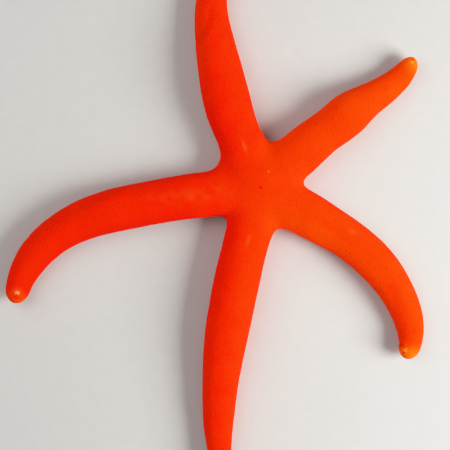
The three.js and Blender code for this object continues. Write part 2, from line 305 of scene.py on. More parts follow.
def section_sizes(name, s):
    """Half width, heights above and below the widest line, that line's height, groove depth."""
    length = ARMS[name][0]
    width = along((ROOT_WIDTH,) + ARMS[name][2], share_along(name, s))
    height = HEIGHT_TO_WIDTH * width
    into_tip = np.maximum((s - (length - TIP_ROUNDING)) / TIP_ROUNDING, 0.0)
    closing = np.sqrt(np.maximum(1.0 - into_tip**2, 0.0))
    lift = TIP_LIFT * smooth_rise((s / length - TIP_LIFT_START) / (1.0 - TIP_LIFT_START))
    return {
        "half_width": width / 2 * closing,
        "above": (1.0 - FLANK_SHARE) * height * closing,
        "below": FLANK_SHARE * height * closing,
        "middle": lift + FLANK_SHARE * height,
        "groove": GROOVE_DEPTH_TO_HEIGHT * height * closing,
    }


def flattening(radius):
    """How much the crest is held down near the disc's axis, 1 far from it."""
    return 1.0 - DISC_FLATTENING * np.exp(-((radius / DISC_FLAT_RADIUS) ** 2))


def spread(x, y):
    """0 on an arm's crest and 1 at the body's outline: the smooth least over the arms of the
    squared distance to the arm's line over the squared half width, less the webs between."""
    total = 0.0
    for name, bearing, half_angle in zip(NAMES, ROOT_BEARINGS, HALF_ANGLES_AFTER):
        ahead = x * np.cos(bearing) + y * np.sin(bearing)
        aside = y * np.cos(bearing) - x * np.sin(bearing)
        squared = np.where(ahead > 0, aside**2, x**2 + y**2)
        total = total + np.exp(-ARM_BLEND * squared / (ROOT_WIDTH / 2) ** 2)
        web_x = x - WEB_FROM_AXIS * np.cos(bearing + half_angle)
        web_y = y - WEB_FROM_AXIS * np.sin(bearing + half_angle)
        total = total + WEBS[name] * np.exp(-(web_x**2 + web_y**2) / WEB_RADIUS**2)
    return -np.log(total) / ARM_BLEND


def reach(start, direction, value):
    """Where rays first reach a value of the spread, each by halving the stretch it is in."""
    near = np.zeros(start.shape[:-1])
    far = np.full(start.shape[:-1], 2.0 * ROOT_LENGTH)
    for _ in range(HALVINGS):
        middle = (near + far) / 2
        point = start + direction * middle[..., None]
        short = spread(point[..., 0], point[..., 1]) < value
        near = np.where(short, middle, near)
        far = np.where(short, far, middle)
    return start + direction * near[..., None]


# ---- The skin -------------------------------------------------------------------------------
# One tough skin over a chalky net covers the whole body. It is a grid of cross-sections, first
# opening like a fan round the disc and then square across each arm, with its soft hollows and
# creases pressed in. Its grain and pores are too fine for a mesh and are left to the finish.

DOME_ROWS = 30
FLANK_ROWS = 11
SOLE_ROWS = 5
GROOVE_ROWS = 8
FAN_RINGS = 38
FAN_SPACING = 0.7
RING_SPACING = 0.56
TIP_RINGS = 11
SOLE_LIFT = 0.15


def section_rows():
    """One side of the section, crest to groove: share of the half width, stretch and turn."""
    quarter = math.pi / 2
    dome = np.linspace(0.0, quarter, DOME_ROWS + 1)
    flank = np.linspace(0.0, quarter, FLANK_ROWS + 1)[1:]
    sole = np.linspace(SOLE_EDGE, GROOVE_EDGE, SOLE_ROWS + 1)[1:]
    groove = np.linspace(1.0, 0.0, GROOVE_ROWS + 1)[1:]
    share = np.concatenate(
        [np.sin(dome), SOLE_EDGE + (1 - SOLE_EDGE) * np.cos(flank), sole, groove * GROOVE_EDGE]
    )
    stretch = np.repeat([0, 1, 2, 3], [len(dome), len(flank), len(sole), len(groove)])
    turn = np.concatenate([dome, flank, np.ones(len(sole)), groove])
    return share, stretch, turn


SHARE, STRETCH, TURN = section_rows()
ROW_COUNT = len(SHARE)
SOLE_ROW = DOME_ROWS + FLANK_ROWS
GROOVE_EDGE_ROW = SOLE_ROW + SOLE_ROWS
# A whole section goes down one side of the body and comes up the other.
AROUND = np.concatenate([np.arange(ROW_COUNT), np.arange(ROW_COUNT - 2, 0, -1)])
SIDE = np.where(np.arange(len(AROUND)) < ROW_COUNT, 1.0, -1.0)


def row_heights(sizes, dome_height, extra_depth):
    """The height of each point of a section: dome, flank, flat sole, then the groove's roof."""
    stretch, turn = STRETCH[AROUND], TURN[AROUND]
    floor_level = sizes["middle"] - sizes["below"]
    flank = sizes["middle"] - sizes["below"] * np.sin(turn)
    roof = floor_level + (sizes["groove"] + extra_depth) * (1.0 - turn**GROOVE_WALL_POWER)
    choices = [sizes["middle"] + dome_height, flank, floor_level + 0.0 * turn, roof]
    return np.choose(stretch, np.broadcast_arrays(*choices))


def arm_rings(name, s):
    """Sections square across the arm's middle line, a row of points each."""
    s = np.asarray(s, dtype=float)[:, None]
    sizes = section_sizes(name, s)
    line, bearing = middle_line(name, s)
    across = bearing + SIDE * math.pi / 2
    aside = SHARE[AROUND] * sizes["half_width"]
    dome = sizes["above"] * flattening(s) * np.cos(TURN[AROUND])
    x = line[..., 0] + np.cos(across) * aside
    y = line[..., 1] + np.sin(across) * aside
    return np.stack([x, y, row_heights(sizes, dome, 0.0)], -1)


def fan_rings(name, opened):
    """Sections whose halves swing from the lines between the arms to square across the arm.
    The flank's rows keep to the same values of the spread all the way round."""
    index = NAMES.index(name)
    root = ROOT_BEARINGS[index]
    opened = np.asarray(opened, dtype=float)[:, None]
    half = np.where(SIDE > 0, HALF_ANGLES_AFTER[index], HALF_ANGLES_AFTER[index - 1])
    swing = root + SIDE * (half + (math.pi / 2 - half) * opened)
    s = ROOT_LENGTH * opened**FAN_SPACING
    start = np.stack(np.broadcast_arrays(np.cos(root) * s, np.sin(root) * s + 0.0 * swing), -1)
    direction = np.stack([np.cos(swing), np.sin(swing)], -1)
    lowest = np.where(STRETCH[AROUND] == 1, 0.0, spread(start[..., 0], start[..., 1]))
    value = lowest + (1.0 - lowest) * SHARE[AROUND] ** 2
    place = np.where(SHARE[AROUND][None, :, None] > 0, reach(start, direction, value), start)
    sizes = section_sizes(name, np.array([[ROOT_LENGTH]]))
    dome = sizes["above"] * flattening(np.hypot(place[..., 0], place[..., 1]))
    dome = dome * np.sqrt(np.maximum(1.0 - value, 0.0))
    mouth = MOUTH_EXTRA_DEPTH * np.exp(-((s / MOUTH_RADIUS) ** 2))
    return np.concatenate([place, row_heights(sizes, dome, mouth)[..., None]], -1)


def ring_faces(first, second):
    """The four-sided faces between two rings of point numbers."""
    ahead = np.roll(np.arange(len(first)), -1)
    return np.stack([first, second, second[ahead], first[ahead]], -1)


def skin_grid():
    """The skin's points, their places in arm terms, its faces, and each arm's own rings.
    Neighbouring arms share the points on the line between them, and all share the middle.
    A place is the arm's number, the distance along it, the distance to the left of its middle
    line, and how much the relief shows there: 1 on the dome, falling to 0 down the flank."""
    points, places, faces, arm_grids = [], [], [], {}
    shown = np.choose(STRETCH[AROUND], [1.0, np.cos(TURN[AROUND]), 0.0, 0.0])
    inner = np.arange(1, ROW_COUNT - 1)
    first_rings = {name: fan_rings(name, [0.0])[0] for name in NAMES}
    count = 0

    def keep(ring, arm, s, aside, relief):
        nonlocal count
        columns = [np.full(len(ring), arm), np.full(len(ring), s), aside, relief]
        points.append(ring)
        places.append(np.stack(np.broadcast_arrays(*columns), -1))
        count += len(ring)
        return count - len(ring) + np.arange(len(ring))

    middle = first_rings[NAMES[0]][[0, ROW_COUNT - 1]]
    ends = keep(middle, -1, 0.0, np.zeros(2), np.array([1.0, 0.0]))
    between = [keep(first_rings[n][inner], -1, 0.0, 0.0 * inner, shown[inner]) for n in NAMES]
    for index, name in enumerate(NAMES):
        length = ARMS[name][0]
        beyond = np.arange(ROOT_LENGTH, length - TIP_ROUNDING, RING_SPACING)
        rounding = np.sin(np.linspace(0.0, math.pi / 2, TIP_RINGS + 1)[:-1])
        stops = np.concatenate([beyond, length - TIP_ROUNDING * (1.0 - rounding)])
        opened = np.linspace(0.0, 1.0, FAN_RINGS + 1)[1:-1]
        rings = np.concatenate([fan_rings(name, opened), arm_rings(name, stops)])
        distances = np.concatenate([ROOT_LENGTH * opened**FAN_SPACING, stops])
        half_widths = section_sizes(name, distances)["half_width"]
        arm_grids[name] = np.concatenate([first_rings[name][None], rings])
        last = np.concatenate([ends[:1], between[index], ends[1:], between[index - 1][::-1]])
        for ring, s, half_width in zip(rings, distances, half_widths):
            aside = SHARE[AROUND] * SIDE * half_width
            numbers = keep(ring, index, s, aside, shown)
            faces.append(ring_faces(last, numbers))
            last = numbers
        tip = keep(arm_rings(name, [length])[0][:1], index, length, np.zeros(1), np.zeros(1))
        around = np.roll(last, -1)
        faces.append(np.stack([last, np.full(len(last), tip[0]), around, around], -1))
    return np.concatenate(points), np.concatenate(places), np.concatenate(faces), arm_grids


def outward_normals(points, faces):
    """At each point, the sum of the crossed diagonals of the faces that meet there, made 1 long."""
    a, b, c, d = (points[faces[:, k]] for k in range(4))
    crossed = np.cross(c - a, d - b)
    total = np.zeros_like(points)
    for k in range(4):
        for axis in range(3):
            total[:, axis] += np.bincount(faces[:, k], crossed[:, axis], len(points))
    return total / np.maximum(np.linalg.norm(total, axis=1, keepdims=True), 1e-12)


def wander(points, size, seed, waves=24):
    """Soft lumps of about a size, most of them from -1 to 1: cosine waves of many directions."""
    draws = np.random.default_rng(seed)
    ways = draws.normal(size=(waves, 3))
    ways /= np.linalg.norm(ways, axis=1, keepdims=True) * size * draws.uniform(0.8, 1.8, (waves, 1))
    shifts = draws.uniform(0.0, 2 * math.pi, waves)
    return np.cos(2 * math.pi * points @ ways.T + shifts).sum(1) / math.sqrt(waves)


def from_line(s, aside, stops):
    """How far each place on an arm is from a broken line of such places."""
    nearest = np.full(len(s), np.inf)
    for (s0, a0), (s1, a1) in zip(stops, stops[1:]):
        run = ((s - s0) * (s1 - s0) + (aside - a0) * (a1 - a0)) / ((s1 - s0) ** 2 + (a1 - a0) ** 2)
        run = np.clip(run, 0.0, 1.0)
        away = np.hypot(s - s0 - run * (s1 - s0), aside - a0 - run * (a1 - a0))
        nearest = np.minimum(nearest, away)
    return nearest


# Soft lumps all over the skin: their height, their size and the seed of their draws.
LUMPS = ((0.07, 15.0, 3), (0.03, 5.0, 5))
# Each crease: its arm, stops as (distance along, distance to the left of the middle line), how far
# it spreads to each side, its depth, and how much painted shade darkens it to a deeper red. The two
# wide ones of the left arm have no depth, and are only painted shade on its crest and one flank.
CREASES = [
    ("top", [(62.6, 6.2), (64.4, 4.8), (67.1, 2.4), (71.0, 0.6), (75.0, -0.2)], 1.5, 0.34, 0.3),
    ("left", [(54.0, -6.2), (69.0, -4.6), (83.0, -3.6), (95.0, -0.9)], 2.2, 0.12, 0.4),
    ("left", [(36.0, 1.0), (106.0, 0.0)], 8.0, 0.0, 0.4),
    ("left", [(30.0, 8.0), (88.0, 7.2), (110.0, 5.4)], 4.0, 0.0, 0.75),
    ("left", [(114.6, -0.9), (115.0, 0.3), (114.7, 1.4)], 0.5, 0.16, 0.9),
    ("lower_right", [(66.0, -1.0), (79.0, -2.9), (89.0, -3.6)], 2.4, 0.1, 0.3),
    ("lower_right", [(91.2, -6.5), (92.2, -4.8), (94.0, -2.6)], 0.9, 0.6, 0.8),
]
# Each pale patch: its middle, half length, half width and bearing, and its strength. The last lies
# round the end plate of the left arm, and is partly a painted highlight there.
PALE_PATCHES = [
    ((-6.4, 16.4), 2.2, 0.6, 108.0, 0.36),
    ((-4.9, -20.8), 2.4, 0.7, 75.0, 0.22),
    ((36.5, -17.4), 1.5, 0.9, 330.0, 0.22),
    ((-96.9, -41.6), 1.6, 1.9, 265.0, 0.5),
]
# A faint band along the left arm, paler by a share that its mottles make more or less.
BAND = ((-30.0, -3.4), 14.0, 2.6, 188.0)
BAND_PALENESS = 0.10
MOTTLING = 0.12
MOTTLE_SIZE = 4.0
# How orange each arm is on its right, along its crest and on its left, from deep red at 0: at its
# root, then near its tip. Besides each arm's own colour, the differences between its sides, and part
# of those between the arms, are painted light and painted shade.
ORANGE_AND_PAINTED_LIGHT = {
    "upper_right": ((0.19, 0.23, 0.45), (0.25, 0.37, 0.58)),
    "top": ((0.12, 0.08, 0.02), (0.13, 0.10, 0.31)),
    "left": ((0.10, 0.08, 0.06), (0.15, 0.09, 0.07)),
    "bottom": ((0.02, 0.15, 0.17), (0.18, 0.07, 0.16)),
    "lower_right": ((0.60, 0.26, 0.27), (0.44, 0.26, 0.26)),
}
# An arm's colour has turned into its tip's a little before the tip.
COLOUR_TURN = 1.15
# The middle of the disc is more orange than the roots: partly its own colour, partly painted light
# over the shaded notches between the arms.
DISC_WARMTH_AND_PAINTED_LIGHT = 0.09
DISC_WARM_RADIUS = 12.0
# How soon the underside's colour takes over on the flank below the widest line.
UNDER_TURN = 1.3
# How far back from its tip each arm turns yellow, and how strongly.
YELLOW_TIPS = {
    "upper_right": (7.5, 0.8),
    "top": (6.0, 0.5),
    "left": (6.0, 0.35),
    "bottom": (6.0, 0.5),
    "lower_right": (7.5, 0.8),
}


def patch(points, middle, half_length, half_width, bearing):
    """1 in the middle of a long patch, falling off as a bell both ways."""
    turn = math.radians(bearing)
    x, y = points[:, 0] - middle[0], points[:, 1] - middle[1]
    ahead = (x * math.cos(turn) + y * math.sin(turn)) / half_length
    aside = (y * math.cos(turn) - x * math.sin(turn)) / half_width
    return np.exp(-(ahead**2) - aside**2)


def orange_and_painted_light_share(points, places):
    """Each arm's orange, between its shares on the right, crest and left and from root to tip, which
    carry painted light and painted shade on the flanks as well as the arm's own colour. On the disc
    the roots are mixed by their nearness, a bell of the distance to their lines."""
    total = DISC_WARMTH_AND_PAINTED_LIGHT * np.exp(-(points[:, :2] ** 2).sum(1) / DISC_WARM_RADIUS**2)
    weights = np.full(len(points), 1e-12)
    for index, name in enumerate(NAMES):
        bearing = ROOT_BEARINGS[index]
        ahead = points[:, 0] * np.cos(bearing) + points[:, 1] * np.sin(bearing)
        aside = points[:, 1] * np.cos(bearing) - points[:, 0] * np.sin(bearing)
        squared = np.where(ahead > 0, aside**2, (points[:, :2] ** 2).sum(1))
        near_root = np.exp(-squared / (ROOT_WIDTH / 2) ** 2)
        on_arm = places[:, 1] > ROOT_LENGTH
        leftness = np.where(on_arm, places[:, 2], aside) / (ROOT_WIDTH / 2)
        root, tip = (np.interp(leftness, [-1.0, 0.0, 1.0], shares) for shares in ORANGE_AND_PAINTED_LIGHT[name])
        weight = np.where(on_arm, places[:, 0] == index, near_root)
        outwards = smooth_rise(share_along(name, places[:, 1]) * COLOUR_TURN)
        total += weight * (root + (tip - root) * outwards)
        weights += weight
    return total / weights


skin_points, skin_places, skin_faces, arm_grids = skin_grid()
arm_number, distance_along, aside_of_line, relief_shown = skin_places.T
skin_out = outward_normals(skin_points, skin_faces)
relief = sum(height * wander(skin_points, size, seed) for height, size, seed in LUMPS)
painted_shade = np.zeros(len(skin_points))
for name, stops, half_width, depth, painted_shade_strength in CREASES:
    away = from_line(distance_along, aside_of_line, stops)
    bell = np.exp(-((away / half_width) ** 2)) * (arm_number == NAMES.index(name))
    relief = relief - depth * bell
    painted_shade = np.maximum(painted_shade, painted_shade_strength * bell)
pale = np.zeros(len(skin_points))
for middle, half_length, half_width, bearing, strength in PALE_PATCHES:
    pale = pale + strength * patch(skin_points, middle, half_length, half_width, bearing)
mottles = MOTTLING * wander(skin_points, MOTTLE_SIZE, seed=8)
pale = pale + patch(skin_points, *BAND) * np.clip(BAND_PALENESS + mottles, 0.0, 1.0)
yellow = np.zeros(len(skin_points))
for index, name in enumerate(NAMES):
    back, most = YELLOW_TIPS[name]
    from_tip = (distance_along - ARMS[name][0]) / back
    yellow += most * smooth_rise(from_tip + 1.0) * (arm_number == index)

pressed = skin_points + skin_out * (relief * relief_shown)[:, None]
# The sole is held just off the ground by the blunt spines on it.
lift_share = np.clip(1.0 - pressed[:, 2] / WIDEST_HEIGHT * MM, 0.0, 1.0)
pressed[:, 2] = pressed[:, 2] + SOLE_LIFT * lift_share
pale_below = smooth_rise(1.0 - UNDER_TURN * relief_shown)

DEEP_RED = (0.90, 0.008, 0.0004, 1.0)
RED_ORANGE = (1.0, 0.095, 0.0006, 1.0)
# The deep red of the painted shade in the creases and over the left arm.
PAINTED_SHADE_RED = (0.60, 0.008, 0.0004, 1.0)
PORE_RED = (0.42, 0.003, 0.0004, 1.0)
PALE_ORANGE = (1.0, 0.13, 0.012, 1.0)
TIP_YELLOW = (1.0, 0.150, 0.003, 1.0)
UNDER_ORANGE = (0.92, 0.11, 0.012, 1.0)
ANUS_RED = (0.30, 0.0, 0.0, 1.0)
WARM_SHEEN = (1.0, 0.3, 0.1, 1.0)
# The sizes of the skin's grain and clouds and the spacing of its pores, in metres.
GRANULE_SIZE = 0.00062
CLOUD_SIZE = 0.0065
FINE_CLOUD_SIZE = 0.0017
PORE_SPACING = 0.0023
SMALL_PORE_SPACING = 0.0011
GRAIN_HEIGHT = 0.00015
PORE_DEPTH = 0.00012
ANUS_RADIUS = 0.0005

skin = Finish("red_skin")
skin_place = skin.place()
granule = skin.rise(skin.cells(skin_place, GRANULE_SIZE), 0.75, 0.0)
clouds = skin.noise(skin_place, CLOUD_SIZE, detail=3.0)
fine_clouds = skin.noise(skin_place, FINE_CLOUD_SIZE)
pore_chance = skin.rise(skin.cells(skin_place, PORE_SPACING, output="Color"), 0.35, 0.45)
pore = skin.rise(skin.cells(skin_place, PORE_SPACING), 0.17, 0.08) * pore_chance
small_pore = skin.rise(skin.cells(skin_place, SMALL_PORE_SPACING), 0.26, 0.12)
# The orange share is the arm's own red to orange, with painted light and painted shade on its
# flanks.
orange_and_painted_light = skin.mark("orange_and_painted_light") + 0.16 * (clouds - 0.5) + 0.10 * (fine_clouds - 0.5)
orange_and_painted_light = orange_and_painted_light + 0.09 * (granule - 0.5) - 0.06 * small_pore
colour = skin.blend(orange_and_painted_light, DEEP_RED, RED_ORANGE)
colour = skin.blend(skin.mark("pale"), colour, PALE_ORANGE)
colour = skin.blend(skin.mark("yellow"), colour, TIP_YELLOW)
# Painted shade: the creases, and the left arm's crest and one flank, darkened towards a deep red.
colour = skin.blend(skin.mark("painted_shade"), colour, PAINTED_SHADE_RED)
colour = skin.blend(skin.mark("under"), colour, UNDER_ORANGE)
colour = skin.blend(pore * 0.5 + small_pore * 0.3, colour, PORE_RED)
# The anus is a small dark spot on the disc's axis, by its distance over the ground.
level = {0: skin_place, 1: (1.0, 1.0, 0.0)}
level_place = skin.node("ShaderNodeVectorMath", {"operation": "MULTIPLY"}, level)
apart = {0: level_place, 1: tuple(DISC)}
from_axis = skin.node("ShaderNodeVectorMath", {"operation": "DISTANCE"}, apart, output="Value")
colour = skin.blend(skin.rise(from_axis, 1.3 * ANUS_RADIUS, 0.5 * ANUS_RADIUS), colour, ANUS_RED)
grain = skin.bump(granule, GRAIN_HEIGHT)
pitted = skin.bump(1.0 - pore, PORE_DEPTH, normal=grain)
skin_material = skin.surface(
    Base_Color=colour,
    Roughness=0.6 + 0.25 * fine_clouds,
    Specular_IOR_Level=0.03,
    Specular_Tint=WARM_SHEEN,
    Normal=pitted,
)

skin_marks = {
    "orange_and_painted_light": orange_and_painted_light_share(skin_points, skin_places),
    "pale": pale,
    "yellow": yellow,
    "painted_shade": painted_shade,
    "under": pale_below,
}
skin_piece = mesh_piece("skin", pressed, skin_faces, skin_material, skin_marks)
flesh = [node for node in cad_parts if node.startswith("arm_") or node == "disc"]
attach(skin_piece, "root")
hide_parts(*flesh)

# ---- The madreporite ------------------------------------------------------------------------
# A chalky sieve plate, the water inlet, set in the skin between two arms. It is a low dome
# with winding furrows from its middle, and the red skin grows over its rim.

SIEVE_RADIUS = 0.9
SIEVE_PROUD = 0.26
SIEVE_SUNK = 0.5
SIEVE_FROM_AXIS = 7.0
SIEVE_BEARING = 65.0
SIEVE_ROWS = 14
SIEVE_SIDES = 66
FURROWS = 11
FURROW_DEPTH = 0.07
# How far the furrows swing to and fro on their way out, and how unevenly they stand.
FURROW_SWING = 2.2
FURROW_UNEVENNESS = 0.8
SIEVE_RED = (0.95, 0.024, 0.0008, 1.0)
SIEVE_PALE = (1.0, 0.12, 0.009, 1.0)


def disc_height(x, y):
    """The disc's height over a point of the ground, within its own outline."""
    sizes = section_sizes(NAMES[0], ROOT_LENGTH)
    crest = sizes["above"] * flattening(np.hypot(x, y))
    return sizes["middle"] + crest * np.sqrt(1.0 - spread(x, y))


def square_to(up, ahead):
    """Three axes as rows: ahead as nearly as it can be, to its left, and up."""
    up = up / np.linalg.norm(up, axis=-1, keepdims=True)
    left = np.cross(up, ahead)
    left = left / np.linalg.norm(left, axis=-1, keepdims=True)
    return np.stack([np.cross(left, up), left, up], -2)


def polar_cap(rim_rows, sides):
    """A grid round a pole: shares of the radius and angles of its points, the first at the
    pole, and its faces. Its last row is drawn in to a second pole underneath."""
    share = np.repeat(np.linspace(0.0, 1.0, rim_rows + 1)[1:], sides)
    angle = np.tile(np.arange(sides) * 2 * math.pi / sides, rim_rows)
    rows = 1 + np.arange(rim_rows * sides).reshape(rim_rows, sides)
    first, last = np.zeros(sides, dtype=int), np.full(sides, rim_rows * sides + 1)
    faces = [ring_faces(rows[k], rows[k + 1]) for k in range(rim_rows - 1)]
    onward = np.roll(rows, -1, axis=1)
    faces.append(np.stack([rows[0], onward[0], first, first], -1))
    faces.append(np.stack([onward[-1], rows[-1], last, last], -1))
    share, angle = (np.concatenate([[0.0], values, [0.0]]) for values in (share, angle))
    return share, angle, np.concatenate(faces)


def sieve_plate():
    """Height: a dome of the root of 1 - r^2, less a cosine of the angle that winds with r."""
    share, angle, faces = polar_cap(SIEVE_ROWS, SIEVE_SIDES)
    winding = FURROWS * angle + FURROW_SWING * np.sin(5.0 * share)
    winding = winding + FURROW_UNEVENNESS * np.sin(2 * angle)
    furrow = FURROW_DEPTH * (0.5 + 0.5 * np.cos(winding)) * smooth_rise((share - 0.15) / 0.25)
    height = (SIEVE_PROUD - furrow) * np.sqrt(np.maximum(1.0 - share**2, 0.0))
    height[-1] = -SIEVE_SUNK
    radius = SIEVE_RADIUS * share
    return np.stack([radius * np.cos(angle), radius * np.sin(angle), height], -1), faces, share


sieve_turn = math.radians(SIEVE_BEARING)
sieve_x, sieve_y = SIEVE_FROM_AXIS * math.cos(sieve_turn), SIEVE_FROM_AXIS * math.sin(sieve_turn)
# A small step over which slopes and directions are measured.
STEP = 0.1
slope_x = (disc_height(sieve_x + STEP, sieve_y) - disc_height(sieve_x - STEP, sieve_y)) / (2 * STEP)
slope_y = (disc_height(sieve_x, sieve_y + STEP) - disc_height(sieve_x, sieve_y - STEP)) / (2 * STEP)
sieve_axes = square_to(np.array([-slope_x, -slope_y, 1.0]), np.array([1.0, 0.0, 0.0]))
sieve_points, sieve_faces, sieve_share = sieve_plate()
sieve_middle = np.array([sieve_x, sieve_y, disc_height(sieve_x, sieve_y)])

sieve = Finish("sieve_plate")
sieve_paleness = sieve.rise(sieve.mark("from_middle"), 0.75, 0.1)
sieve_noise = sieve.noise(sieve.place(), 0.0004)
sieve_paleness = sieve_paleness * (0.6 + 0.4 * sieve_noise)
sieve_colour = sieve.blend(sieve_paleness, SIEVE_RED, SIEVE_PALE)
sieve_material = sieve.surface(
    Base_Color=sieve_colour,
    Roughness=0.5 + 0.2 * sieve_noise,
    Specular_IOR_Level=0.1,
    Specular_Tint=WARM_SHEEN,
    Normal=sieve.bump(sieve_noise, 0.00005),
)
sieve_piece = mesh_piece(
    "madreporite_plate",
    sieve_middle + sieve_points @ sieve_axes,
    sieve_faces,
    sieve_material,
    {"from_middle": sieve_share},
)
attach(sieve_piece, "root")
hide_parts("madreporite")

# ---- The arm tips ----------------------------------------------------------------------------
# Each arm ends in a smooth domed plate with a notch in its outer edge, a ring of granules round
# it, and a dark eyespot under the notch.

PLATE_HALF_LENGTH = 0.95
PLATE_HALF_WIDTH = 1.15
PLATE_BULGE = 0.34
PLATE_RIM_SUNK = 0.06
PLATE_SUNK = 0.5
# Each arm's plate: how far before the tip, how far round towards the left, and how pale, which is
# partly the plate's own paler colour and partly a painted highlight.
PLATES = {
    "upper_right": (2.1, 0.0, 0.0),
    "top": (2.9, 0.0, 0.6),
    "left": (4.3, 0.08, 1.0),
    "bottom": (2.9, 0.0, 0.6),
    "lower_right": (3.0, -0.5, 0.0),
}
NOTCH_DEPTH = 0.38
NOTCH_ANGLE = 0.42
SLIT_DEPTH = 0.2
SLIT_HALF_WIDTH = 0.16
TIP_CURVE_ACROSS = 4.4
TIP_CURVE_ALONG = 5.0
# The ring of granules stands off the plate's rim, and is open at the notch.
TIP_GRANULES = 12
TIP_GRANULE_RADIUS = 0.26
TIP_GRANULE_HEIGHT = 0.1
RING_HALF_LENGTH = 1.45 * PLATE_HALF_LENGTH
RING_HALF_WIDTH = 1.35 * PLATE_HALF_WIDTH
RING_OPENING = 0.5
EYESPOT_RADIUS = 0.34
EYESPOT_PLACE = (1.15 * PLATE_HALF_LENGTH, 0.0, -0.12)
# The plates' pale colour: partly their own, partly a painted highlight.
PLATE_PALE_AND_HIGHLIGHT = (1.0, 0.19, 0.068, 1.0)
GRANULE_REDS = ((0.9, 0.018, 0.001, 1.0), (0.95, 0.035, 0.001, 1.0))
EYESPOT_REDS = ((0.22, 0.003, 0.0006, 1.0), (0.40, 0.008, 0.001, 1.0))


def dome_point(name, s, turn):
    """A point of an arm's dome, a turn to the left of its crest."""
    line, bearing = middle_line(name, np.array([s]))
    sizes = section_sizes(name, np.array([s]))
    aside = sizes["half_width"][0] * math.sin(turn)
    up = sizes["middle"][0] + sizes["above"][0] * math.cos(turn)
    x = line[0, 0] - math.sin(bearing[0]) * aside
    y = line[0, 1] + math.cos(bearing[0]) * aside
    return np.array([x, y, up])


def dome_axes(name, s, turn):
    """A point of an arm's dome, and axes there: outwards along the arm, left, and off the skin."""
    outwards = dome_point(name, s + STEP, turn) - dome_point(name, s - STEP, turn)
    left = dome_point(name, s, turn + STEP) - dome_point(name, s, turn - STEP)
    return dome_point(name, s, turn), square_to(np.cross(outwards, left), outwards)


def drape(local):
    """Sinks points around a crest by the curve of the skin across the arm and along it."""
    fall = local[:, 1] ** 2 / (2 * TIP_CURVE_ACROSS) + local[:, 0] ** 2 / (2 * TIP_CURVE_ALONG)
    return local - np.column_stack([0.0 * fall, 0.0 * fall, fall])


def dome(radius, height, sunk, rim_rows=3, sides=8):
    """A round bead on the ground: the root of 1 - r^2 above it, and a pole below it."""
    share, angle, faces = polar_cap(rim_rows, sides)
    up = height * np.sqrt(np.maximum(1.0 - share**2, 0.0))
    up[-1] = -sunk
    return np.stack([radius * share * np.cos(angle), radius * share * np.sin(angle), up], -1), faces


def terminal_plate():
    """A dome of a power of 1 - r^2, whose rim is drawn in by a bell of the angle at the notch,
    with a slit running in from the notch."""
    share, angle, faces = polar_cap(rim_rows=10, sides=36)
    off_notch = (angle + math.pi) % (2 * math.pi) - math.pi
    rim = 1.0 - NOTCH_DEPTH * np.exp(-((off_notch / NOTCH_ANGLE) ** 2))
    x = PLATE_HALF_LENGTH * share * rim * np.cos(angle)
    y = PLATE_HALF_WIDTH * share * rim * np.sin(angle)
    slit = SLIT_DEPTH * np.exp(-((y / SLIT_HALF_WIDTH) ** 2)) * smooth_rise((x + 0.1) / 0.5)
    up = PLATE_BULGE * np.maximum(1.0 - share**2, 0.0) ** 0.6 - PLATE_RIM_SUNK - slit
    up[-1] = -PLATE_SUNK
    return np.stack([x, y, up], -1), faces


def gather(pieces):
    """Several pieces' points and faces as one, the later faces counted on past the earlier."""
    starts = np.cumsum([0] + [len(points) for points, _ in pieces])
    faces = [part_faces + start for (_, part_faces), start in zip(pieces, starts)]
    return np.concatenate([points for points, _ in pieces]), np.concatenate(faces)


plates, granules, eyespots, paleness_and_highlight, yellowness = [], [], [], [], []
plate_points, plate_faces = terminal_plate()
bead, bead_faces = dome(TIP_GRANULE_RADIUS, TIP_GRANULE_HEIGHT, sunk=0.2)
eye, eye_faces = dome(EYESPOT_RADIUS, EYESPOT_RADIUS, sunk=0.3, rim_rows=4, sides=12)
for name in NAMES:
    before_tip, turn, how_pale = PLATES[name]
    middle, axes = dome_axes(name, ARMS[name][0] - before_tip, turn)
    plates.append((middle + drape(plate_points) @ axes, plate_faces))
    paleness_and_highlight.append(np.full(len(plate_points), how_pale))
    for angle in np.linspace(RING_OPENING, 2 * math.pi - RING_OPENING, TIP_GRANULES):
        yellowness.append(np.full(len(bead), YELLOW_TIPS[name][1]))
        ring = [RING_HALF_LENGTH * math.cos(angle), RING_HALF_WIDTH * math.sin(angle), 0.0]
        granules.append((middle + drape(bead + ring) @ axes, bead_faces))
    eyespots.append((middle + drape(eye + EYESPOT_PLACE) @ axes, eye_faces))

plate_finish = Finish("tip_plate")
plate_cloud = plate_finish.noise(plate_finish.place(), 0.0007)
plate_pale_and_highlight = plate_finish.mark("pale") * (0.6 + 0.8 * plate_cloud)
plate_colour = plate_finish.blend(plate_pale_and_highlight, TIP_YELLOW, PLATE_PALE_AND_HIGHLIGHT)
plate_material = plate_finish.surface(
    Base_Color=plate_colour,
    Roughness=0.5 + 0.2 * plate_cloud,
    Specular_IOR_Level=0.06,
    Normal=plate_finish.bump(plate_cloud, 0.00006),
)
plate_marks = {"pale": np.concatenate(paleness_and_highlight)}
plate_piece = mesh_piece("terminal_plates", *gather(plates), plate_material, plate_marks)
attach(plate_piece, "root")

bead_finish = Finish("tip_granules")
bead_cloud = bead_finish.noise(bead_finish.place(), 0.0009)
bead_colour = bead_finish.blend(bead_cloud, *GRANULE_REDS)
bead_colour = bead_finish.blend(bead_finish.mark("yellow"), bead_colour, TIP_YELLOW)
bead_material = bead_finish.surface(Base_Color=bead_colour, Roughness=0.6, Specular_IOR_Level=0.04)
bead_marks = {"yellow": np.concatenate(yellowness)}
bead_piece = mesh_piece("tip_granules", *gather(granules), bead_material, bead_marks)
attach(bead_piece, "root")

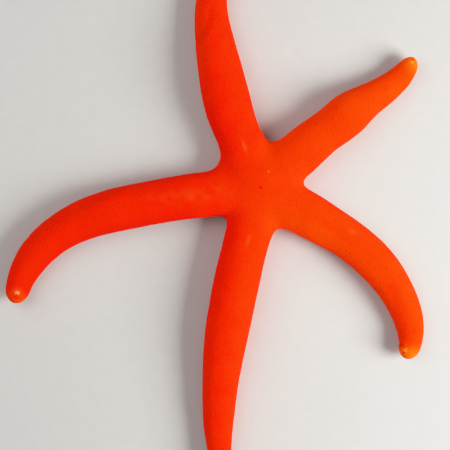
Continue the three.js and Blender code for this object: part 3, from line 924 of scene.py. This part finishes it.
eye_finish = Finish("eyespot")
eye_cloud = eye_finish.noise(eye_finish.place(), 0.0003)
eye_colour = eye_finish.blend(eye_cloud, *EYESPOT_REDS)
eye_material = eye_finish.surface(Base_Color=eye_colour, Roughness=0.6, Specular_IOR_Level=0.04)
eye_piece = mesh_piece("eyespots", *gather(eyespots), eye_material)
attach(eye_piece, "root")

# ---- The spines of the underside ---------------------------------------------------------------
# Small blunt spines of the same chalk as the plates stand along both edges of each groove and
# fold in over it, three to a plate. Shorter stumps cover the sole, and the animal rests on them.

PLATE_SPACING = 1.45
SPINE_LENGTH = 1.05
SPINE_HALF_WIDTH = 0.25
SPINE_FLATNESS = 0.6
SPINE_FAN = (-0.45, 0.0, 0.45)
SPINE_DIP = 0.3
SPINE_UP_WALL = 0.45
SPINE_SUNK = 0.15
SPINE_RADII = SPINE_HALF_WIDTH * np.array([0.75, 1.0, 1.0, 0.6])
SPINE_HEIGHTS = SPINE_LENGTH * np.array([0.0, 0.35, 0.75, 0.96])
STUMP_SPACING = 1.05
STUMP_RADIUS = 0.27
SPINE_COLOURS = ((0.92, 0.10, 0.02, 1.0), (1.0, 0.28, 0.08, 1.0))


def row_line(name, row, side):
    """One row of the skin's grid as a line from the mouth to near the tip."""
    column = row if side > 0 else len(AROUND) - row
    return arm_grids[name][:-TIP_RINGS, column]


def spaced(line, spacing, start):
    """Points at even distances along a line, and its direction there."""
    steps = np.linalg.norm(np.diff(line, axis=0), axis=1)
    run = np.concatenate([[0.0], np.cumsum(steps)])
    stops = np.arange(start, run[-1], spacing)
    places = np.stack([np.interp(stops, run, line[:, k]) for k in range(3)], -1)
    ahead = np.stack([np.interp(stops + STEP, run, line[:, k]) for k in range(3)], -1) - places
    return places, ahead / np.linalg.norm(ahead, axis=1, keepdims=True)


def copies(shape, faces, places, axes):
    """A small shape at each place, its three coordinates measured along that place's axes."""
    points = places[:, None] + np.einsum("pk,nkj->npj", shape, axes)
    numbers = faces[None] + (np.arange(len(places)) * len(shape))[:, None, None]
    return points.reshape(-1, 3), numbers.reshape(-1, 4)


def turned_shape(radii, heights, sides, foot, head):
    """A profile turned round the third axis, with a pole at the foot's and at the head's height."""
    angle = np.arange(sides) * 2 * math.pi / sides
    circle = np.stack([np.cos(angle), np.sin(angle)], 1)
    rings = [np.column_stack([r * circle, np.full(sides, h)]) for r, h in zip(radii, heights)]
    rows = 1 + np.arange(len(radii) * sides).reshape(len(radii), sides)
    onward = np.roll(rows, -1, axis=1)
    first, last = np.zeros(sides, dtype=int), np.full(sides, len(radii) * sides + 1)
    faces = [ring_faces(rows[k + 1], rows[k]) for k in range(len(radii) - 1)]
    faces.append(np.stack([onward[0], rows[0], first, first], -1))
    faces.append(np.stack([rows[-1], onward[-1], last, last], -1))
    points = np.concatenate([[[0.0, 0.0, foot]], *rings, [[0.0, 0.0, head]]])
    return points, np.concatenate(faces)


spine_shape, spine_faces = turned_shape(SPINE_RADII, SPINE_HEIGHTS, 6, foot=0.0, head=SPINE_LENGTH)
spine_shape = spine_shape * [1.0, SPINE_FLATNESS, 1.0]
stump_shape, stump_faces = dome(STUMP_RADIUS, SOLE_LIFT, sunk=0.05, rim_rows=2, sides=6)
down = np.array([0.0, 0.0, -1.0])
spine_sets, stump_sets = [], []
for name in NAMES:
    for side in (1.0, -1.0):
        edge, wall = (row_line(name, GROOVE_EDGE_ROW + k, side) for k in (0, 1))
        foot_line = edge + SPINE_UP_WALL * (wall - edge) + [0.0, 0.0, SOLE_LIFT]
        places, ahead = spaced(foot_line, PLATE_SPACING, start=0.5)
        inwards = side * np.cross(ahead, [0.0, 0.0, 1.0])
        for fan in SPINE_FAN:
            lean = inwards * math.cos(fan) + ahead * math.sin(fan) + down * SPINE_DIP
            axes = square_to(lean, np.cross(down, lean))
            spine_sets.append(copies(spine_shape, spine_faces, places - SPINE_SUNK * lean, axes))
        for row in range(SOLE_ROW, GROOVE_EDGE_ROW):
            places, ahead = spaced(row_line(name, row, side), STUMP_SPACING, 0.3 + 0.5 * (row % 2))
            places = places + [0.0, 0.0, SOLE_LIFT]
            axes = square_to(down + 0.0 * ahead, ahead)
            stump_sets.append(copies(stump_shape, stump_faces, places, axes))

spine_finish = Finish("spines")
spine_cloud = spine_finish.noise(spine_finish.place(), 0.0012)
spine_colour = spine_finish.blend(spine_cloud, *SPINE_COLOURS)
spine_material = spine_finish.surface(
    Base_Color=spine_colour,
    Roughness=0.5 + 0.2 * spine_cloud,
    Specular_IOR_Level=0.2,
    Normal=spine_finish.bump(spine_cloud, 0.00006),
)
for name, sets in (("furrow_spines", spine_sets), ("sole_spines", stump_sets)):
    piece = mesh_piece(name, *gather(sets), spine_material)
    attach(piece, "root")

# ---- The tube feet ----------------------------------------------------------------------------
# Two rows of soft hollow feet hang from the roof of each groove, each ending in a sucker. Here
# they are drawn in, just clear of the ground.

FOOT_SPACING = 1.7
FOOT_ROW = GROOVE_EDGE_ROW + 5
FOOT_CLEAR = 0.4
FOOT_FROM_AXIS = 4.2
# The most that a foot is drawn in further, and how far one leans from upright.
FOOT_DRAWN_IN = 0.5
FOOT_LEAN = 0.09
# Radii in millimetres at shares of the foot's length, from inside the roof to the sucker's rim.
FOOT_RADII = np.array([0.44, 0.36, 0.34, 0.3, 0.34, 0.56, 0.52])
FOOT_SHARES = np.array([-0.12, 0.2, 0.55, 0.8, 0.88, 0.93, 1.0])
SUCKER_HOLLOW = 0.94
FOOT_COLOURS = ((0.85, 0.20, 0.06, 1.0), (1.0, 0.42, 0.18, 1.0))

foot_sets = []
foot_shape, foot_faces = turned_shape(
    FOOT_RADII, FOOT_SHARES, 8, foot=FOOT_SHARES[0], head=SUCKER_HOLLOW
)
foot_draws = np.random.default_rng(11)
for name in NAMES:
    for side in (1.0, -1.0):
        start = 0.4 if side > 0 else 0.4 + FOOT_SPACING / 2
        places, ahead = spaced(row_line(name, FOOT_ROW, side), FOOT_SPACING, start)
        places = places[np.hypot(places[:, 0], places[:, 1]) > FOOT_FROM_AXIS]
        drop = places[:, 2] - FOOT_CLEAR - foot_draws.uniform(0.0, FOOT_DRAWN_IN, len(places))
        tilt = foot_draws.normal(0.0, FOOT_LEAN, (len(places), 2))
        lean = np.column_stack([tilt, -np.ones(len(places))])
        axes = square_to(lean, np.array([1.0, 0.0, 0.0]) + 0.0 * lean)
        axes[:, 2] *= drop[:, None]
        foot_sets.append(copies(foot_shape, foot_faces, places, axes))

foot_finish = Finish("tube_feet")
foot_cloud = foot_finish.noise(foot_finish.place(), 0.0008)
foot_colour = foot_finish.blend(foot_cloud, *FOOT_COLOURS)
foot_material = foot_finish.surface(
    Base_Color=foot_colour,
    Roughness=0.3 + 0.15 * foot_cloud,
    Specular_IOR_Level=0.4,
    Normal=foot_finish.bump(foot_cloud, 0.00008),
)
foot_piece = mesh_piece("tube_feet", *gather(foot_sets), foot_material)
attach(foot_piece, "root")

# ---- The mouth -------------------------------------------------------------------------------
# A soft membrane under the disc, drawn together in folds round the small hole of the mouth.

LIP_HOLE = 0.42
LIP_RADIUS = 1.7
LIP_HALF_THICKNESS = 0.36
LIP_SAG = 0.5
LIP_FOLDS = 15
LIP_FOLD_DEPTH = 0.12
LIP_SIDES = 90
LIP_ROWS = 24
LIP_COLOURS = ((0.75, 0.18, 0.07, 1.0), (0.95, 0.40, 0.20, 1.0))

lip_level = (mouth_low.z + mouth_high.z) / 2 / MM
around_lip = np.tile(np.arange(LIP_SIDES) * 2 * math.pi / LIP_SIDES, LIP_ROWS)
section_turn = np.repeat(np.arange(LIP_ROWS) * 2 * math.pi / LIP_ROWS, LIP_SIDES)
# A flat oval section round the hole, sagging towards it, folded more the nearer it is.
out_share = 0.5 + 0.5 * np.cos(section_turn)
lip_r = LIP_HOLE + (LIP_RADIUS - LIP_HOLE) * out_share
folds = LIP_FOLD_DEPTH * np.cos(LIP_FOLDS * around_lip) * (1.0 - out_share) ** 0.7
lip_r = lip_r + 0.5 * folds * (1.0 - out_share)
lip_z = lip_level + LIP_HALF_THICKNESS * np.sin(section_turn) - LIP_SAG * (0.5 - out_share)
lip_z = lip_z + 0.3 * folds
lip_points = np.column_stack([lip_r * np.cos(around_lip), lip_r * np.sin(around_lip), lip_z])
lip_rows = np.arange(LIP_ROWS * LIP_SIDES).reshape(LIP_ROWS, LIP_SIDES)
lip_faces = np.concatenate([ring_faces(lip_rows[k], lip_rows[k - 1]) for k in range(LIP_ROWS)])

lip_finish = Finish("mouth_membrane")
lip_cloud = lip_finish.noise(lip_finish.place(), 0.0006)
lip_colour = lip_finish.blend(lip_cloud, *LIP_COLOURS)
lip_material = lip_finish.surface(
    Base_Color=lip_colour,
    Roughness=0.3 + 0.2 * lip_cloud,
    Specular_IOR_Level=0.4,
    Normal=lip_finish.bump(lip_cloud, 0.00008),
)
lip_piece = mesh_piece("mouth_lip", lip_points, lip_faces, lip_material)
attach(lip_piece, "root")
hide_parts("mouth_membrane")
